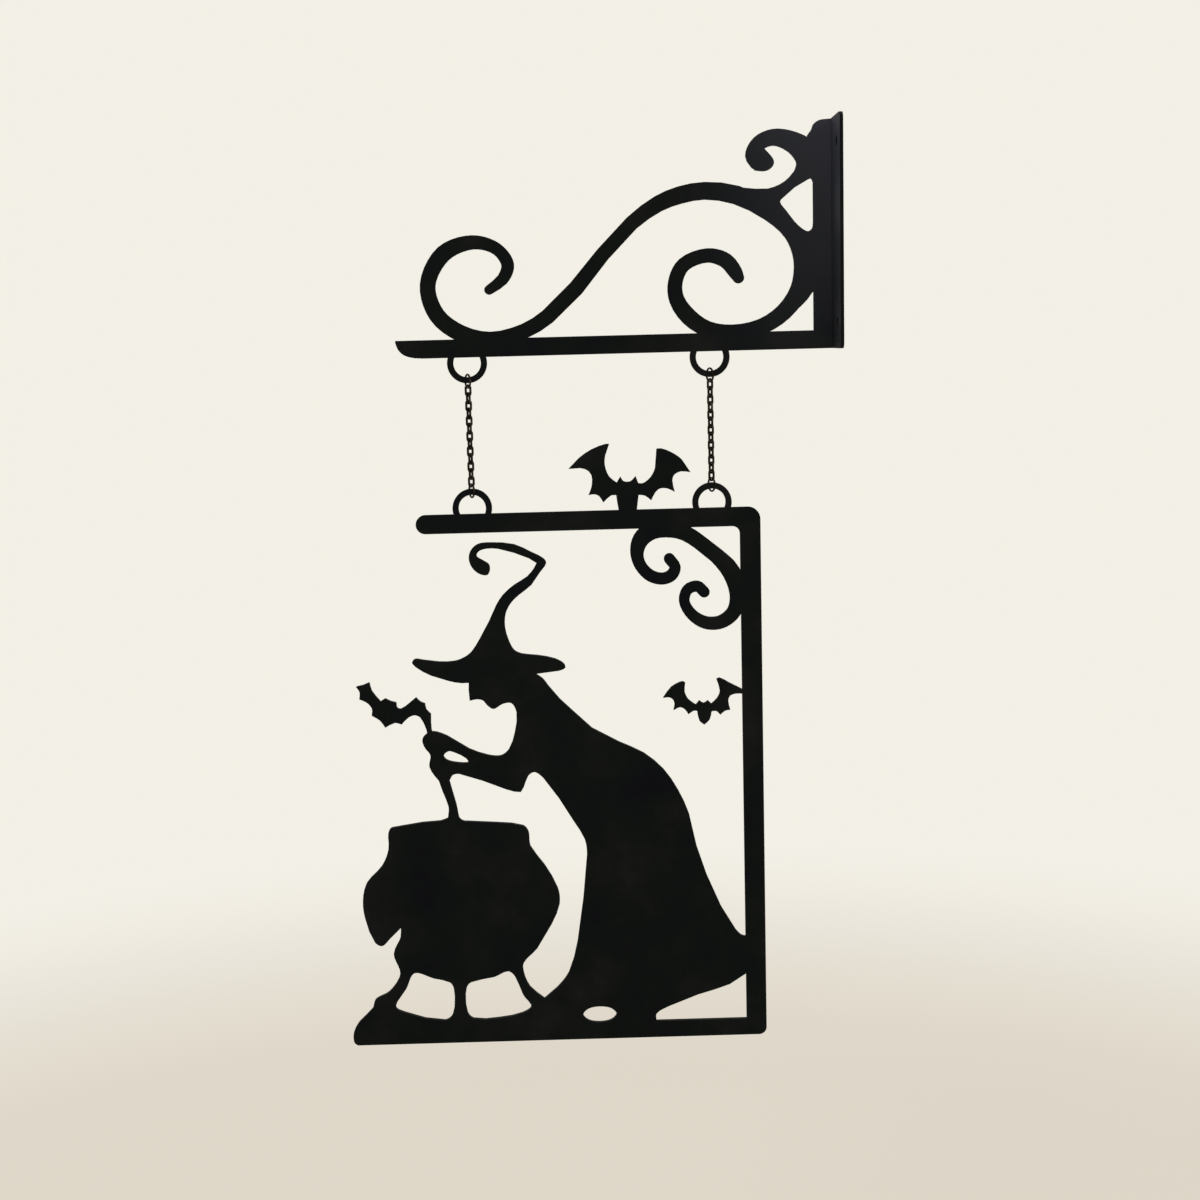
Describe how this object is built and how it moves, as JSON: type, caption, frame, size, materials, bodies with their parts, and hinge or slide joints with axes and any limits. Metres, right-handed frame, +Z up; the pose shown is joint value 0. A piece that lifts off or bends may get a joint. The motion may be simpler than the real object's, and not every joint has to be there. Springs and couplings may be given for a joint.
{
  "type": "hanging trade sign",
  "caption": "Hanging sheet-metal sign: a flat scrolled wall bracket with ring eyes, fine link chains with jump rings, and a framed silhouette of a figure stirring a cauldron.",
  "frame": {"origin": "centre of the wall plate's back face, where it meets the wall", "axes": "+X into the wall, +Z up; the bracket's arm reaches out along -X, both sheets stand in the XZ plane and the viewer in the picture is on the -Y side"},
  "size_m": [0.2266, 0.056, 0.4146],
  "materials": {
    "black_coat": "satin",
    "chain_steel": "satin"
  },
  "bodies": {
    "bracket": {"wall_plate": "black_coat", "bracket_plate": "black_coat"},
    "left_upper_ring": {"left_top_ring": "chain_steel"},
    "left_chain": {"left_link_01": "chain_steel", "left_link_02": "chain_steel", "left_link_03": "chain_steel", "left_link_04": "chain_steel", "left_link_05": "chain_steel", "left_link_06": "chain_steel", "left_link_07": "chain_steel", "left_link_08": "chain_steel", "left_link_09": "chain_steel", "left_link_10": "chain_steel", "left_link_11": "chain_steel", "left_link_12": "chain_steel", "left_link_13": "chain_steel"},
    "left_lower_ring": {"left_bottom_ring": "chain_steel"},
    "right_upper_ring": {"right_top_ring": "chain_steel"},
    "right_chain": {"right_link_01": "chain_steel", "right_link_02": "chain_steel", "right_link_03": "chain_steel", "right_link_04": "chain_steel", "right_link_05": "chain_steel", "right_link_06": "chain_steel", "right_link_07": "chain_steel", "right_link_08": "chain_steel", "right_link_09": "chain_steel", "right_link_10": "chain_steel", "right_link_11": "chain_steel", "right_link_12": "chain_steel", "right_link_13": "chain_steel"},
    "right_lower_ring": {"right_bottom_ring": "chain_steel"},
    "sign": {"sign_plate": "black_coat"}
  },
  "joints": [
    {"name": "left_swing", "type": "hinge", "parent": "bracket", "child": "left_upper_ring", "pos_m": [-0.1625, 0, -0.05958], "axis": [1, 0, 0], "range_deg": [-40, 40]},
    {"name": "left_sway", "type": "hinge", "parent": "left_upper_ring", "child": "left_chain", "pos_m": [-0.1625, 0, -0.06253], "axis": [0, 1, 0], "range_deg": [-20, 20]},
    {"name": "left_level", "type": "hinge", "parent": "left_chain", "child": "left_lower_ring", "pos_m": [-0.1625, 0, -0.10508], "axis": [0, 1, 0], "range_deg": [-20, 20]},
    {"name": "sign_tilt", "type": "hinge", "parent": "left_lower_ring", "child": "sign", "pos_m": [-0.1625, 0, -0.10803], "axis": [1, 0, 0], "range_deg": [-30, 30]},
    {"name": "right_swing", "type": "hinge", "parent": "bracket", "child": "right_upper_ring", "pos_m": [-0.0555, 0, -0.05958], "axis": [1, 0, 0], "range_deg": [-40, 40]},
    {"name": "right_sway", "type": "hinge", "parent": "right_upper_ring", "child": "right_chain", "pos_m": [-0.0555, 0, -0.06253], "axis": [0, 1, 0], "range_deg": [-20, 20]},
    {"name": "right_level", "type": "hinge", "parent": "right_chain", "child": "right_lower_ring", "pos_m": [-0.0555, 0, -0.10508], "axis": [0, 1, 0], "range_deg": [-20, 20]}
  ],
  "couplings": [
    {"joint": "left_level", "follows": "left_sway", "ratio": -1},
    {"joint": "right_swing", "follows": "left_swing", "ratio": 1},
    {"joint": "right_sway", "follows": "left_sway", "ratio": 1},
    {"joint": "right_level", "follows": "left_sway", "ratio": -1}
  ]
}
